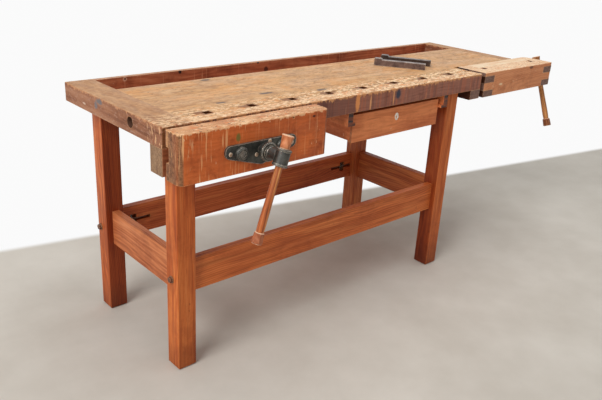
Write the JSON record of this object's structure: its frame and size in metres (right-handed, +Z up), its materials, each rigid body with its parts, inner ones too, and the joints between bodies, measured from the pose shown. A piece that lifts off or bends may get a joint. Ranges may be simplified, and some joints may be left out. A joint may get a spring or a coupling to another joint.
{
  "type": "joiner's workbench",
  "caption": "Wooden joiner's workbench with a front vise, a sliding tail vise, square dog holes, a rear tool tray, a drawer under the top and a bolted leg frame.",
  "frame": {"origin": "middle of the bench's outline on the floor, T-heads of both vises included", "axes": "+X along the bench from the front vise to the tail vise, +Y from the front edge to the tool tray, +Z up"},
  "size_m": [2.184, 0.853, 0.8803],
  "materials": {
    "top_wood": "worn, oiled",
    "dark_wood": "stained, worn",
    "cap_wood": "worn, stained",
    "tray_wood": "varnished",
    "jaw_wood": "varnished, grubby",
    "base_wood": "varnished",
    "chop_wood": "varnished, chipped",
    "tail_wood": "varnished, worn",
    "drawer_wood": "varnished",
    "front_handle_wood": "varnished",
    "tail_handle_wood": "varnished",
    "black_iron": "blackened, oily",
    "worn_steel": "dull, worn"
  },
  "bodies": {
    "bench": {"top_slab": "top_wood", "front_apron": "dark_wood", "dog_hole_strip": "top_wood", "dog_hole_blocks": "top_wood", "left_end_cap": "cap_wood", "right_end_cap": "cap_wood", "tray_bottom": "tray_wood", "back_board": "tray_wood", "fixed_jaw_block": "jaw_wood", "slot_batten": "dark_wood", "front_left_leg": "base_wood", "front_right_leg": "base_wood", "rear_left_leg": "base_wood", "rear_right_leg": "base_wood", "front_long_rail": "base_wood", "rear_long_rail": "base_wood", "left_side_rail": "base_wood", "right_side_rail": "base_wood", "left_top_bearer": "base_wood", "right_top_bearer": "base_wood", "frame_bolts": "black_iron", "frame_wing_nuts": "black_iron", "cap_bolts": "black_iron", "front_guide_plate": "black_iron", "front_screw_nut": "worn_steel", "tail_nut_block": "tail_wood", "tail_screw_nut": "worn_steel", "tail_runner": "tail_wood", "left_hanger": "base_wood", "right_hanger": "base_wood"},
    "front_chop": {"front_chop": "chop_wood", "chop_plate": "black_iron", "chop_plate_screws": "worn_steel", "guide_rods": "worn_steel", "rod_ring_nuts": "black_iron", "rod_tie_bar": "black_iron", "screw_collar": "black_iron"},
    "front_screw": {"front_screw": "black_iron"},
    "front_handle": {"front_handle_rod": "front_handle_wood", "front_handle_knobs": "front_handle_wood"},
    "tail_jaw": {"tail_front_board": "tail_wood", "tail_jaw_block": "tail_wood", "tail_end_block": "tail_wood", "tail_top_board": "top_wood", "tail_inner_board": "tail_wood", "tail_screw_plate": "black_iron", "tail_plate_screws": "worn_steel"},
    "tail_screw": {"tail_screw": "black_iron"},
    "tail_handle": {"tail_handle_rod": "tail_handle_wood", "tail_handle_knobs": "tail_handle_wood"},
    "drawer": {"drawer_front": "drawer_wood", "drawer_left_side": "drawer_wood", "drawer_right_side": "drawer_wood", "drawer_back": "drawer_wood", "drawer_bottom": "drawer_wood", "drawer_cleats": "drawer_wood"},
    "front_dog": {"front_dog": "worn_steel", "front_dog_spring": "worn_steel"},
    "rear_dog": {"rear_dog": "worn_steel", "rear_dog_spring": "worn_steel"}
  },
  "joints": [
    {"name": "front_chop_slide", "type": "slide", "parent": "bench", "child": "front_chop", "axis": [0, -1, 0], "range_m": [-0.0196, 0.1301]},
    {"name": "front_screw_turn", "type": "hinge", "parent": "front_chop", "child": "front_screw", "pos_m": [-0.81, -0.4025, 0.765], "axis": [0, -1, 0], "range_deg": [-1080, 7200]},
    {"name": "front_handle_slide", "type": "slide", "parent": "front_screw", "child": "front_handle", "axis": [0.3156, 0, 0.9489], "range_m": [0, 0.11]},
    {"name": "tail_jaw_slide", "type": "slide", "parent": "bench", "child": "tail_jaw", "axis": [1, 0, 0], "range_m": [-0.0276, 0.1376]},
    {"name": "tail_screw_turn", "type": "hinge", "parent": "tail_jaw", "child": "tail_screw", "pos_m": [1.068, -0.1105, 0.777], "axis": [1, 0, 0], "range_deg": [-1800, 9000]},
    {"name": "tail_handle_slide", "type": "slide", "parent": "tail_screw", "child": "tail_handle", "axis": [0, 0.3697, 0.9291], "range_m": [0, 0.11]},
    {"name": "drawer_slide", "type": "slide", "parent": "bench", "child": "drawer", "axis": [0, -1, 0], "range_m": [0, 0.3]},
    {"name": "front_dog_lift", "type": "slide", "parent": "bench", "child": "front_dog", "axis": [0, 0, 1], "range_m": [0, 0.06]},
    {"name": "rear_dog_lift", "type": "slide", "parent": "bench", "child": "rear_dog", "axis": [0, 0, 1], "range_m": [0, 0.06]}
  ],
  "couplings": [
    {"joint": "front_chop_slide", "follows": "front_screw_turn", "m_per_rad": 0.0010345},
    {"joint": "tail_jaw_slide", "follows": "tail_screw_turn", "m_per_rad": 0.00087535}
  ]
}
